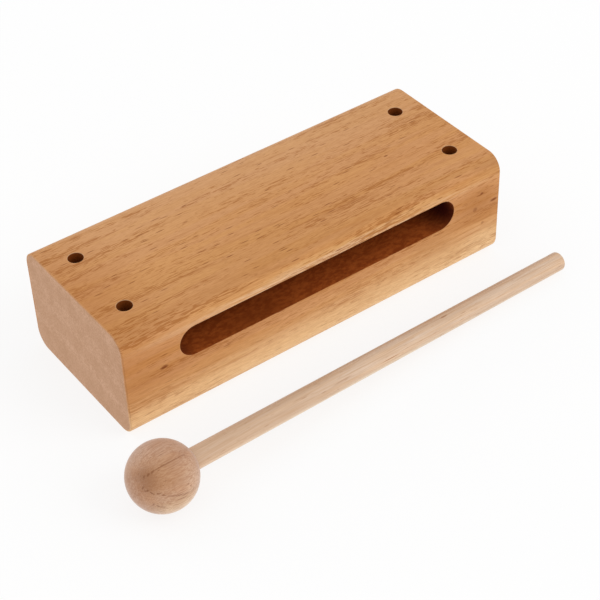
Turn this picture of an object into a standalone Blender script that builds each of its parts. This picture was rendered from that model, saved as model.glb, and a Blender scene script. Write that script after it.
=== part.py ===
"""Wood block with a ball-headed beater.

The instrument is one bar of hardwood, rounded along its four long edges, with a slot milled in
from the front under a thin roof that rings when it is struck, and four holes drilled straight
through the solid ends. The beater is a second piece: a tapered dowel glued into a blind bore in a
wooden ball. It lies on the same surface as the block, in front of it.

Frame: origin at the centre of the block's underside, +X along the block, +Y from the slotted front
to the back, +Z up. Everything is in metres.
"""

import math

import bmesh
import bpy
from mathutils import Matrix, Vector

# Block
BLOCK_LENGTH = 0.1800
BLOCK_WIDTH = 0.0698
BLOCK_HEIGHT = 0.0476
EDGE_RADIUS = 0.0070
END_EASE = 0.0004

# Slot, milled from the front with one cutter as wide as the slot is high
SLOT_HEIGHT = 0.0138
SLOT_DEPTH = 0.0500
ROOF_THICKNESS = 0.0079
SLOT_END_WALL = 0.0242

# Four holes drilled from the top to the underside
HOLE_DIAMETER = 0.0062
HOLE_END_INSET = 0.0125
HOLE_SIDE_INSET = 0.0174

# Beater
HEAD_DIAMETER = 0.0270
STICK_LENGTH = 0.2000
STICK_DIAMETER_AT_HEAD = 0.0086
STICK_DIAMETER_AT_BUTT = 0.0080
BUTT_ROUNDING = 0.0010
SOCKET_DEPTH = 0.0132
GLUE_GAP = 0.0003

# Where the beater lies: the head's centre is past the block's end, its skin clear of the front
HEAD_PAST_BLOCK_END = 0.0076
HEAD_TO_BLOCK_FRONT = 0.0206
BEATER_TURN = math.radians(2.67)

# How finely curves are divided
EDGE_STEPS = 8
SLOT_END_STEPS = 16
HOLE_STEPS = 32
STICK_STEPS = 32
HEAD_STEPS = 40
HEAD_RINGS = 20
BUTT_STEPS = 3

# How far a cutter reaches past the face that it opens
CUTTER_OVERSHOOT = 0.004

HEAD_RADIUS = HEAD_DIAMETER / 2
BUTT_RADIUS = STICK_DIAMETER_AT_BUTT / 2
SOCKET_RADIUS = STICK_DIAMETER_AT_HEAD / 2 + GLUE_GAP


def clear_scene():
    """Remove every object, so that the script gives the same result in any file."""
    for existing in list(bpy.data.objects):
        bpy.data.objects.remove(existing)


def wood(name, colour, roughness):
    """A plain wood finish: one Principled shader."""
    material = bpy.data.materials.new(name)
    material.use_nodes = True
    shader = material.node_tree.nodes["Principled BSDF"]
    shader.inputs["Base Color"].default_value = (*colour, 1.0)
    shader.inputs["Roughness"].default_value = roughness
    shader.inputs["Metallic"].default_value = 0.0
    material.diffuse_color = (*colour, 1.0)
    return material


def arc(centre, radius, start_deg, end_deg, steps):
    """Points of a circular arc in a plane, both ends included."""
    points = []
    for step in range(steps + 1):
        angle = math.radians(start_deg + (end_deg - start_deg) * step / steps)
        points.append((centre[0] + radius * math.cos(angle), centre[1] + radius * math.sin(angle)))
    return points


def object_from_bmesh(name, bm, material=None):
    """Turn a bmesh into a linked object whose faces point outwards."""
    bmesh.ops.recalc_face_normals(bm, faces=bm.faces)
    mesh = bpy.data.meshes.new(name)
    bm.to_mesh(mesh)
    bm.free()
    made = bpy.data.objects.new(name, mesh)
    bpy.context.scene.collection.objects.link(made)
    if material is not None:
        mesh.materials.append(material)
    return made


def shade_round(made, angle_deg=30):
    """Smooth shading, kept sharp where two faces meet at more than the given angle."""
    made.data.shade_smooth()
    made.data.set_sharp_from_angle(angle=math.radians(angle_deg))


def prism(bm, outline, along):
    """Extrude a closed outline of 3-D points by the vector along. Returns the two end faces."""
    near = bm.faces.new([bm.verts.new(point) for point in outline])
    swept = bmesh.ops.extrude_face_region(bm, geom=[near])
    moved = [item for item in swept["geom"] if isinstance(item, bmesh.types.BMVert)]
    bmesh.ops.translate(bm, verts=moved, vec=along)
    far = next(item for item in swept["geom"] if isinstance(item, bmesh.types.BMFace))
    return near, far


def turned(name, profile, steps, material):
    """Turn a profile of (x, radius) points about the X axis. Both its ends lie on the axis.

    Every ring has a vertex straight down, so a turned piece rests on a vertex.
    """
    bm = bmesh.new()
    rings = []
    for x, radius in profile:
        if radius == 0:
            rings.append([bm.verts.new((x, 0, 0))])
            continue
        ring = []
        for step in range(steps):
            angle = 2 * math.pi * step / steps - math.pi / 2
            ring.append(bm.verts.new((x, radius * math.cos(angle), radius * math.sin(angle))))
        rings.append(ring)
    for first, second in zip(rings, rings[1:]):
        for step in range(steps):
            following = (step + 1) % steps
            corners = [first[step % len(first)], first[following % len(first)]]
            corners += [second[following % len(second)], second[step % len(second)]]
            bm.faces.new(list(dict.fromkeys(corners)))
    made = object_from_bmesh(name, bm, material)
    shade_round(made)
    return made


def cutter(name, bm):
    """A guide object that only cuts: it is drawn as wire and never rendered."""
    made = object_from_bmesh(name, bm)
    made.display_type = "WIRE"
    made.hide_render = True
    return made


def subtract(target, tool):
    """Cut a tool out of a target with a live Boolean modifier."""
    cut = target.modifiers.new(tool.name, "BOOLEAN")
    cut.operation = "DIFFERENCE"
    cut.solver = "EXACT"
    cut.object = tool


def block_profile():
    """The bar's cross-section in Y and Z: a rectangle with four round corners."""
    half = BLOCK_WIDTH / 2 - EDGE_RADIUS
    low = EDGE_RADIUS
    high = BLOCK_HEIGHT - EDGE_RADIUS
    corners = [(half, low, -90), (half, high, 0), (-half, high, 90), (-half, low, 180)]
    points = []
    for y, z, start in corners:
        points += arc((y, z), EDGE_RADIUS, start, start + 90, EDGE_STEPS)
    return points


def slot_cutter():
    """A prism with round ends, which enters the front face and stops at the slot's depth."""
    radius = SLOT_HEIGHT / 2
    middle = BLOCK_HEIGHT - ROOF_THICKNESS - radius
    reach = BLOCK_LENGTH / 2 - SLOT_END_WALL - radius
    outline = arc((reach, middle), radius, -90, 90, SLOT_END_STEPS)
    outline += arc((-reach, middle), radius, 90, 270, SLOT_END_STEPS)
    start = -BLOCK_WIDTH / 2 - CUTTER_OVERSHOOT
    bm = bmesh.new()
    prism(bm, [(x, start, z) for x, z in outline], Vector((0, SLOT_DEPTH + CUTTER_OVERSHOOT, 0)))
    return cutter("slot_cutter", bm)


def hole_centres():
    """The four hole positions in X and Y, two at each end."""
    across = BLOCK_LENGTH / 2 - HOLE_END_INSET
    back = BLOCK_WIDTH / 2 - HOLE_SIDE_INSET
    return [(x, y) for x in (-across, across) for y in (-back, back)]


def hole_cutter():
    """Four upright drills, longer than the block is high."""
    rise = BLOCK_HEIGHT + 2 * CUTTER_OVERSHOOT
    bm = bmesh.new()
    for centre in hole_centres():
        outline = arc(centre, HOLE_DIAMETER / 2, 0, 360, HOLE_STEPS)[:-1]
        prism(bm, [(x, y, -CUTTER_OVERSHOOT) for x, y in outline], Vector((0, 0, rise)))
    return cutter("hole_cutter", bm)


def resonator_block(material):
    """The bar with eased end edges, less the slot and the four holes."""
    bm = bmesh.new()
    outline = [(-BLOCK_LENGTH / 2, y, z) for y, z in block_profile()]
    ends = prism(bm, outline, Vector((BLOCK_LENGTH, 0, 0)))
    end_edges = [edge for face in ends for edge in face.edges]
    bmesh.ops.bevel(bm, geom=end_edges, offset=END_EASE, segments=1, affect="EDGES")
    made = object_from_bmesh("resonator_block", bm, material)
    shade_round(made)
    subtract(made, slot_cutter())
    subtract(made, hole_cutter())
    return made


def beater_frame():
    """An empty at the centre of the beater's head, with its X axis along the stick.

    The head stands on the surface and the stick leans down until its butt touches it too. With A
    the distance from the head's centre to where the butt's rounding starts and r the butt's
    radius, the lean t solves A sin t + r cos t = R.
    """
    touch = head_centre_to_butt() - BUTT_ROUNDING
    lean = math.asin(HEAD_RADIUS / math.hypot(touch, BUTT_RADIUS)) - math.atan2(BUTT_RADIUS, touch)
    head_x = -BLOCK_LENGTH / 2 - HEAD_PAST_BLOCK_END
    head_y = -BLOCK_WIDTH / 2 - HEAD_TO_BLOCK_FRONT - HEAD_RADIUS
    frame = bpy.data.objects.new("beater_frame", None)
    bpy.context.scene.collection.objects.link(frame)
    place = Matrix.Translation((head_x, head_y, HEAD_RADIUS))
    frame.matrix_world = place @ Matrix.Rotation(BEATER_TURN, 4, "Z") @ Matrix.Rotation(lean, 4, "Y")
    return frame


def stick_start():
    """Where the stick's inner end lies along the beater's axis, from the head's centre."""
    return HEAD_RADIUS - SOCKET_DEPTH + GLUE_GAP


def head_centre_to_butt():
    """Distance along the beater's axis from the head's centre to the stick's far end."""
    return stick_start() + STICK_LENGTH


def beater_stick(material, frame):
    """A tapered dowel. Its rim at the butt is rounded over."""
    start = stick_start()
    end = start + STICK_LENGTH
    rim = arc((end - BUTT_ROUNDING, BUTT_RADIUS - BUTT_ROUNDING), BUTT_ROUNDING, 90, 0, BUTT_STEPS)
    profile = [(start, 0), (start, STICK_DIAMETER_AT_HEAD / 2), *rim, (end, 0)]
    made = turned("beater_stick", profile, STICK_STEPS, material)
    made.parent = frame
    return made


def beater_head(material, frame):
    """A ball with a blind bore, in which the stick is glued with a thin gap all round."""
    mouth = math.degrees(math.asin(SOCKET_RADIUS / HEAD_RADIUS))
    skin = arc((0, 0), HEAD_RADIUS, 180, mouth, HEAD_RINGS)[1:]
    floor = HEAD_RADIUS - SOCKET_DEPTH
    profile = [(-HEAD_RADIUS, 0), *skin, (floor, SOCKET_RADIUS), (floor, 0)]
    made = turned("beater_head", profile, HEAD_STEPS, material)
    made.parent = frame
    return made


def main():
    """Build the block and the beater."""
    clear_scene()
    block_wood = wood("oiled_hardwood", (0.56, 0.30, 0.125), 0.48)
    stick_wood = wood("pale_dowel_wood", (0.66, 0.46, 0.31), 0.55)
    head_wood = wood("turned_ball_wood", (0.53, 0.33, 0.21), 0.55)
    resonator_block(block_wood)
    frame = beater_frame()
    beater_stick(stick_wood, frame)
    beater_head(head_wood, frame)


main()
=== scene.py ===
"""The looks of a wood block and its beater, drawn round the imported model.

Each piece of wood is a surface worked out with numpy and sewn into one closed mesh, with its grain
running through it as a solid pattern, so that the figure carries on over every rounded edge. The
studio is a pale floor under an even white surround, seen by a camera above the block's left front
corner.

Frame: origin at the centre of the block's underside, +X along the block, +Y from the slotted front
to the back, +Z up. Shapes are in metres, and wood patterns are in millimetres.
"""

from __future__ import annotations

import logging
import math
from dataclasses import dataclass
from enum import Enum
from functools import cached_property
from typing import Any, Callable, Mapping, Sequence

import bmesh
import bpy
import numpy as np
from mathutils import Matrix, Vector


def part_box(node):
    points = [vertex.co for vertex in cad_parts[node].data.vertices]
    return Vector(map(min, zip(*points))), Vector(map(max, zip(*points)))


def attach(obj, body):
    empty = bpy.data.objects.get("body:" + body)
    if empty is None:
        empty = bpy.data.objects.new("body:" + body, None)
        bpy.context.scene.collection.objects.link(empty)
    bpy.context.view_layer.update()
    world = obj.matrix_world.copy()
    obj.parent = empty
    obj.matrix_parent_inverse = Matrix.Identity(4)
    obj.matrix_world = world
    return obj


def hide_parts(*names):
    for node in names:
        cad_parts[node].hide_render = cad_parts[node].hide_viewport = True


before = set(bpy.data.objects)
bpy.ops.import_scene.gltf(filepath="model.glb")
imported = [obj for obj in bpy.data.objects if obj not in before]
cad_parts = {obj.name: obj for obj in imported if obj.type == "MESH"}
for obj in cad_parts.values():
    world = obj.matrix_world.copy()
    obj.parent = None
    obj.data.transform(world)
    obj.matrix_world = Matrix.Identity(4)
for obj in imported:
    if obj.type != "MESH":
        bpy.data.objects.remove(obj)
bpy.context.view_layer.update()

LOG = logging.getLogger("wood_block")

Array = np.ndarray
Colour = tuple[float, float, float]
Pair = tuple[float, float]
Triple = tuple[float, float, float]

MILLIMETRES = 1000.0
QUARTER = math.pi / 2
ROUNDING_CELLS = 4
WHITE = (1.0, 1.0, 1.0, 1.0)


def screen(red: int, green: int, blue: int) -> Colour:
    """Turn a colour as a screen shows it into the linear one that a shader takes.

    Each channel c of 0 to 1 becomes ((c + 0.055) / 1.055) ** 2.4, or c / 12.92 near black.

    Args:
        red: red, 0 to 255.
        green: green, 0 to 255.
        blue: blue, 0 to 255.

    Returns:
        The linear colour, 0 to 1.
    """
    channels = [value / 255 for value in (red, green, blue)]
    linear = [c / 12.92 if c <= 0.04045 else ((c + 0.055) / 1.055) ** 2.4 for c in channels]
    return linear[0], linear[1], linear[2]


class Place(Enum):
    """Which part of a piece of wood a trait of its surface marks."""

    END_GRAIN = "end_grain"
    CUT = "cut"
    BORE = "bore"
    ARRIS = "arris"
    END_EDGE = "end_edge"


class Skin:
    """A closed surface sewn from grids of points whose borders coincide."""

    SEAM = 1e-6

    def __init__(self) -> None:
        """Start with no grids."""
        self._points: list[Array] = []
        self._quads: list[Array] = []
        self._used = 0

    def lay(self, grid: Array, kept: Array | None = None) -> None:
        """Add a grid. Points (i, j), (i, j + 1), (i + 1, j + 1) and (i + 1, j) span each cell.

        Args:
            grid: points, as rows by columns by 3.
            kept: which cells are made, as rows - 1 by columns - 1, or None for all of them.
        """
        rows, columns, _ = grid.shape
        index = self._used + np.arange(rows * columns).reshape(rows, columns)
        quads = np.stack([index[:-1, :-1], index[:-1, 1:], index[1:, 1:], index[1:, :-1]], axis=-1)
        self._quads.append(quads.reshape(-1, 4) if kept is None else quads[kept])
        self._points.append(grid.reshape(-1, 3))
        self._used += rows * columns

    def sew(self, name: str) -> bpy.types.Mesh:
        """Join the grids at their shared borders and turn every face outwards.

        Args:
            name: the mesh's name.

        Returns:
            The closed mesh.
        """
        used, quads = np.unique(np.concatenate(self._quads), return_inverse=True)
        mesh = bpy.data.meshes.new(name)
        mesh.from_pydata(np.concatenate(self._points)[used], [], quads.reshape(-1, 4))
        sewn = bmesh.new()
        sewn.from_mesh(mesh)
        bmesh.ops.remove_doubles(sewn, verts=sewn.verts, dist=self.SEAM)
        bmesh.ops.recalc_face_normals(sewn, faces=sewn.faces)
        sewn.to_mesh(mesh)
        sewn.free()
        return mesh


def read(items: bpy.types.bpy_prop_collection, name: str, width: int, kind: type) -> Array:
    """Read one property of every item as an array.

    Args:
        items: vertices, loops or polygons.
        name: the property.
        width: how many numbers each item has.
        kind: the numbers' type.

    Returns:
        An array of items by width, or flat where the width is 1.
    """
    values = np.empty(len(items) * width, kind)
    items.foreach_get(name, values)
    return values.reshape(-1, width) if width > 1 else values


def area_normals(mesh: bpy.types.Mesh) -> Array:
    """Work out vertex normals, each the mean of its faces' normals weighted by area.

    The wide flats outweigh the small roundings beside them, so flats shade flat to their edges.

    Args:
        mesh: a closed mesh.

    Returns:
        Unit normals, vertices by 3.
    """
    faces = mesh.polygons
    weighted = read(faces, "normal", 3, np.float32) * read(faces, "area", 1, np.float32)[:, None]
    counts = read(faces, "loop_total", 1, np.int32)
    total = np.zeros((len(mesh.vertices), 3))
    np.add.at(total, read(mesh.loops, "vertex_index", 1, np.int32), np.repeat(weighted, counts, 0))
    return total / np.linalg.norm(total, axis=1, keepdims=True)


def smooth_step(values: Array, start: float, end: float) -> Array:
    """Ease from 0 at start to 1 at end: 3 t**2 - 2 t**3 of the clipped share t."""
    share = np.clip((values - start) / (end - start), 0, 1)
    return share * share * (3 - 2 * share)


def quarter_turn(steps: int) -> tuple[Array, Array]:
    """Round over a unit corner: sin t along it and 1 - cos t in from it, t up to a quarter turn."""
    turns = np.linspace(0, QUARTER, steps + 1)
    return np.sin(turns), 1 - np.cos(turns)


def blend(outer: Array, inner: Array, steps: int) -> Array:
    """Span two loops with straight lines in steps: P(v, u) = (1 - v) outer(u) + v inner(u)."""
    share = np.linspace(0, 1, steps + 1)[:, None, None]
    return (1 - share) * outer + share * inner


def rectangle(across: Array, up: Array) -> list[Array]:
    """Run once round a rectangle: its low, right, high and left sides, as (across, up) spots."""
    sides = [(across, up[:1]), (across[-1:], up), (across[::-1], up[-1:]), (across[:1], up[::-1])]
    return [np.stack(np.broadcast_arrays(*side), 1) for side in sides]


def divide(stops: Sequence[float], cuts: Sequence[int]) -> Array:
    """Split each stretch between two stops into equal parts.

    Args:
        stops: positions in rising order.
        cuts: how many parts each stretch gets.

    Returns:
        All positions, first and last stop included.
    """
    runs = [np.linspace(a, b, n, endpoint=False) for a, b, n in zip(stops, stops[1:], cuts)]
    return np.append(np.concatenate(runs), stops[-1])


def both_ways(stops: list[float]) -> list[float]:
    """Mirror rising stops to the other side of zero as well."""
    return [-stop for stop in reversed(stops)] + stops


def near(lines: Array, low: float, high: float, margin: float) -> Array:
    """Pick the grid lines from a margin below low to a margin above high."""
    return lines[(lines > low - margin - Skin.SEAM) & (lines < high + margin + Skin.SEAM)]


def add_object(name: str, data: bpy.types.ID) -> bpy.types.Object:
    """Make an object and link it to the scene.

    Args:
        name: the object's name.
        data: its mesh, light or lens.

    Returns:
        The object, at the origin.
    """
    made = bpy.data.objects.new(name, data)
    bpy.context.scene.collection.objects.link(made)
    return made


def aimed(position: Triple, way: Sequence[float], roll: float = 0.0) -> Matrix:
    """Place a camera or a lamp so that it looks one way, rolled about that way."""
    aim = Vector(way).to_track_quat("-Z", "Y").to_matrix().to_4x4()
    return Matrix.Translation(position) @ aim @ Matrix.Rotation(roll, 4, "Z")


def finish_piece(
    name: str,
    skin: Skin,
    traits: Callable[[Array, Array], Mapping[Place, Array]],
    material: bpy.types.Material,
) -> bpy.types.Object:
    """Make an object of a skin, with its shading, its traits and its finish.

    Args:
        name: the object's name.
        skin: the surface.
        traits: gives each trait's strength, 0 to 1, from the vertices' points and normals.
        material: the finish.

    Returns:
        The object, at the origin with its place in its mesh.
    """
    mesh = skin.sew(name)
    points = read(mesh.vertices, "co", 3, np.float32)
    normals = area_normals(mesh)
    for place, strength in traits(points, normals).items():
        layer = mesh.attributes.new(place.value, "FLOAT", "POINT")
        layer.data.foreach_set("value", strength.astype(np.float32))
    mesh.shade_smooth()
    mesh.normals_split_custom_set_from_vertices(normals)
    mesh.materials.append(material)
    return add_object(name, mesh)


class Wire:
    """One node socket with Python's arithmetic.

    Numbers go through Math nodes and vectors through Vector Math nodes, where a noise's colour
    counts as a vector. The colours of a finish are blended by Graph.mix instead.
    """

    def __init__(self, graph: Graph, socket: bpy.types.NodeSocket) -> None:
        """Wrap a socket of a graph."""
        self.graph = graph
        self.socket = socket

    def _join(self, operation: str, first: Value, second: Value) -> Wire:
        """Add the node that joins two values.

        Args:
            operation: what the node does.
            first: the value on its left.
            second: the value on its right.

        Returns:
            The result, a vector if either value is one.
        """
        vector = any(is_vector(value) for value in (first, second))
        kind = "ShaderNodeVectorMath" if vector else "ShaderNodeMath"
        made = self.graph.node(kind, {"operation": operation}, {0: first, 1: second})
        return self.graph.wire(made)

    def __add__(self, other: Value) -> Wire:
        """Return self + other."""
        return self._join("ADD", self, other)

    def __radd__(self, other: Value) -> Wire:
        """Return other + self."""
        return self._join("ADD", other, self)

    def __sub__(self, other: Value) -> Wire:
        """Return self - other."""
        return self._join("SUBTRACT", self, other)

    def __rsub__(self, other: Value) -> Wire:
        """Return other - self."""
        return self._join("SUBTRACT", other, self)

    def __mul__(self, other: Value) -> Wire:
        """Return self * other."""
        return self._join("MULTIPLY", self, other)

    def __rmul__(self, other: Value) -> Wire:
        """Return other * self."""
        return self._join("MULTIPLY", other, self)

    def __truediv__(self, other: Value) -> Wire:
        """Return self / other."""
        return self._join("DIVIDE", self, other)

    def most(self, other: Value) -> Wire:
        """Return the larger of self and other."""
        return self._join("MAXIMUM", self, other)

    def step(self, start: float, end: float) -> Wire:
        """Ease from 0 at start to 1 at end, as 3 t**2 - 2 t**3.

        Args:
            start: the level that becomes 0.
            end: the level that becomes 1, which may be the smaller of the two.

        Returns:
            The eased number.
        """
        limits = {"Value": self, "From Min": start, "From Max": end}
        made = self.graph.node("ShaderNodeMapRange", {"interpolation_type": "SMOOTHSTEP"}, limits)
        return self.graph.wire(made)

    def turned_about_x(self, centre: Triple, degrees: float) -> Wire:
        """Turn a point about the X axis through a centre.

        Args:
            centre: the centre.
            degrees: how far.

        Returns:
            The turned point.
        """
        sockets = {"Vector": self, "Center": centre, "Angle": math.radians(degrees)}
        made = self.graph.node("ShaderNodeVectorRotate", {"rotation_type": "X_AXIS"}, sockets)
        return self.graph.wire(made)

    def length(self) -> Wire:
        """Measure a vector."""
        made = self.graph.node("ShaderNodeVectorMath", {"operation": "LENGTH"}, {0: self})
        return self.graph.wire(made, 1)

    def nearness(self, centre: Triple, reach: Triple) -> Wire:
        """Fall evenly from 1 at the centre of an ellipsoid to 0 at its skin, and on below 0."""
        return 1.0 - ((self - centre) / reach).length()

    def noise(self, cloud: Cloud, output: str = "Fac") -> Wire:
        """Give soft noise of about 0.25 to 0.75 at a point.

        Args:
            cloud: the noise's size and layers.
            output: "Fac" for a number, or "Color" for three.

        Returns:
            The noise.
        """
        sockets = {
            "Vector": self / cloud.size,
            "Scale": 1.0,
            "Detail": cloud.layers,
            "Roughness": cloud.rough,
        }
        return self.graph.wire(self.graph.node("ShaderNodeTexNoise", None, sockets), output)


Value = Wire | float | tuple[float, ...]


def is_vector(value: Value) -> bool:
    """Tell whether a value has three parts."""
    return isinstance(value, tuple) or isinstance(value, Wire) and value.socket.type != "VALUE"


class Graph:
    """The nodes of one material, or of the world."""

    TINT_CORE = 0.9

    def __init__(self, owner: bpy.types.Material | bpy.types.World) -> None:
        """Clear the nodes of a material or a world.

        Args:
            owner: the material or the world.
        """
        owner.use_nodes = True
        self.owner = owner
        self.tree = owner.node_tree
        self.tree.nodes.clear()

    def node(
        self,
        kind: str,
        settings: Mapping[str, Any] | None = None,
        sockets: Mapping[str | int, Value] | None = None,
    ) -> bpy.types.Node:
        """Add a node.

        Args:
            kind: the node's type.
            settings: its own properties, which are set first.
            sockets: a value or a link for each input, by name or number.

        Returns:
            The node.
        """
        made = self.tree.nodes.new(kind)
        for name, setting in (settings or {}).items():
            setattr(made, name, setting)
        for name, value in (sockets or {}).items():
            if isinstance(value, Wire):
                self.tree.links.new(value.socket, made.inputs[name])
            else:
                made.inputs[name].default_value = value
        return made

    def wire(self, made: bpy.types.Node, output: str | int = 0) -> Wire:
        """Wrap one of a node's outputs."""
        return Wire(self, made.outputs[output])

    def place(self) -> Wire:
        """Give the object's own coordinates."""
        return self.wire(self.node("ShaderNodeTexCoord"), "Object")

    def millimetres(self) -> Wire:
        """Give the object's own coordinates in millimetres."""
        return self.place() * (MILLIMETRES, MILLIMETRES, MILLIMETRES)

    def trait(self, place: Place) -> Wire:
        """Read how strongly a trait marks the surface, 0 to 1."""
        return self.wire(self.node("ShaderNodeAttribute", {"attribute_name": place.value}), "Fac")

    def mix(self, share: Value, first: Wire | Colour, second: Wire | Colour) -> Wire:
        """Blend two colours.

        Args:
            share: how much of the second colour shows, 0 to 1.
            first: the first colour.
            second: the second colour.

        Returns:
            The blend.
        """
        settings = {"data_type": "RGBA", "blend_type": "MIX", "clamp_factor": True}
        opaque = [(*value, 1.0) if isinstance(value, tuple) else value for value in (first, second)]
        made = self.node("ShaderNodeMix", settings, {0: share, 6: opaque[0], 7: opaque[1]})
        return self.wire(made, 2)

    def tinted(self, colour: Wire, point: Wire, tints: Sequence[Tint]) -> Wire:
        """Lay tints over a colour.

        Args:
            colour: the colour.
            point: where, in millimetres.
            tints: the tints, in the order in which they are laid.

        Returns:
            The tinted colour.
        """
        for tint in tints:
            share = point.nearness(tint.centre, tint.reach).step(0.0, self.TINT_CORE)
            colour = self.mix(share * tint.strength, colour, tint.colour)
        return colour

    def mixed_shader(
        self, share: Value, first: bpy.types.Node, second: bpy.types.Node
    ) -> bpy.types.Node:
        """Blend two shaders by the share of the second."""
        sockets = {0: share, 1: self.wire(first), 2: self.wire(second)}
        return self.node("ShaderNodeMixShader", None, sockets)


@dataclass(frozen=True)
class Cloud:
    """A soft noise.

    Attributes:
        size: how long its lumps are along X, Y and Z.
        layers: how many finer layers are added.
        rough: how strong each finer layer is.
    """

    size: Triple
    layers: float = 1.0
    rough: float = 0.5


@dataclass(frozen=True)
class Show:
    """How a pattern shows in the wood.

    Attributes:
        start: the pattern's level at which it starts to show.
        full: the level at which it shows most.
        strength: how strongly it shows there, 0 to 1.
    """

    start: float
    full: float
    strength: float = 1.0

    def of(self, pattern: Wire) -> Wire:
        """Give how strongly the pattern shows."""
        shown = pattern.step(self.start, self.full)
        return shown if self.strength == 1.0 else shown * self.strength


@dataclass(frozen=True)
class Fleck:
    """A dark mark at one place in the wood, such as a long vessel or a pin knot.

    Attributes:
        centre: where it lies, in millimetres.
        reach: half its size along X, Y and Z.
        strength: how dark it is, 0 to 1.
        turn: how far Y and Z are turned about X first, in degrees.
    """

    centre: Triple
    reach: Triple
    strength: float = 1.0
    turn: float = 0.0


@dataclass(frozen=True)
class Tint:
    """A soft change of tone about one place, strongest at its centre; some are the wood's own tones
    and some are painted light and shade.

    Attributes:
        centre: where it lies, in millimetres.
        reach: how far it goes along X, Y and Z.
        colour: the tone.
        strength: how much of the tone shows at the centre, 0 to 1.
    """

    centre: Triple
    reach: Triple
    colour: Colour
    strength: float


@dataclass(frozen=True)
class Vessels:
    """The open vessels of a hardwood, which show as dark dashes on a side and pores on an end.

    Attributes:
        gap: how far apart they are across the wood.
        reach: how far apart they are along it.
        bore: a vessel's half thickness and half length, as a share of the gap and the reach.
        share: how many of the places for a vessel hold one.
        crowding: how strongly they gather in patches.
        core: how much of a vessel's thickness is fully dark.
        crowd: how many gaps thick and how many reaches long such a patch is.
        doubt: how softly the choice of the places is made, as a share of it.
    """

    gap: float
    reach: float
    bore: float
    share: float
    crowding: float = 1.2
    core: float = 0.4
    crowd: Pair = (7.0, 2.5)
    doubt: float = 0.2

    def marks(self, point: Wire) -> Wire:
        """Draw thin spindles, one round the centre of some cells of a drawn-out lattice.

        Args:
            point: where, in millimetres.

        Returns:
            How dark the vessels are, 0 to 1.
        """
        graph = point.graph
        cells = graph.node("ShaderNodeTexVoronoi", {"feature": "F1"}, {
            "Vector": point / (self.reach, self.gap, self.gap),
            "Scale": 1.0,
            "Randomness": 1.0,
        })
        spindle = graph.wire(cells, "Distance").step(self.bore, self.bore * self.core)
        drawn = graph.node("ShaderNodeSeparateColor", None, {0: graph.wire(cells, "Color")})
        thick, long = self.gap * self.crowd[0], self.reach * self.crowd[1]
        gathered = point.noise(Cloud((long, thick, thick))) - 0.5
        chance = graph.wire(drawn) + gathered * (self.crowding * 2.0)
        unsure = self.share * (1.0 + self.doubt)
        certain = self.share * (1.0 - self.doubt)
        return spindle * chance.step(1.0 - unsure, 1.0 - certain)


@dataclass(frozen=True)
class Growth:
    """The patterns that a grain lays through a piece of wood.

    Attributes:
        point: the piece's own coordinates in millimetres, X along the fibres.
        band: the broad growth bands.
        patch: broad tints.
        streak: streaks that show from a step away.
        dash: short dark dashes, 0 to 1.
        fibre: fine fibres.
        vessel: dark vessels, 0 to 1.
        fine_vessel: smaller and fainter vessels, 0 to 1.
    """

    point: Wire
    band: Wire
    patch: Wire
    streak: Wire
    dash: Wire
    fibre: Wire
    vessel: Wire
    fine_vessel: Wire

    def pores(self, strengths: Pair) -> Wire:
        """Join the vessels and the finer ones, each kind at its strength."""
        return (self.vessel * strengths[0]).most(self.fine_vessel * strengths[1])


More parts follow.
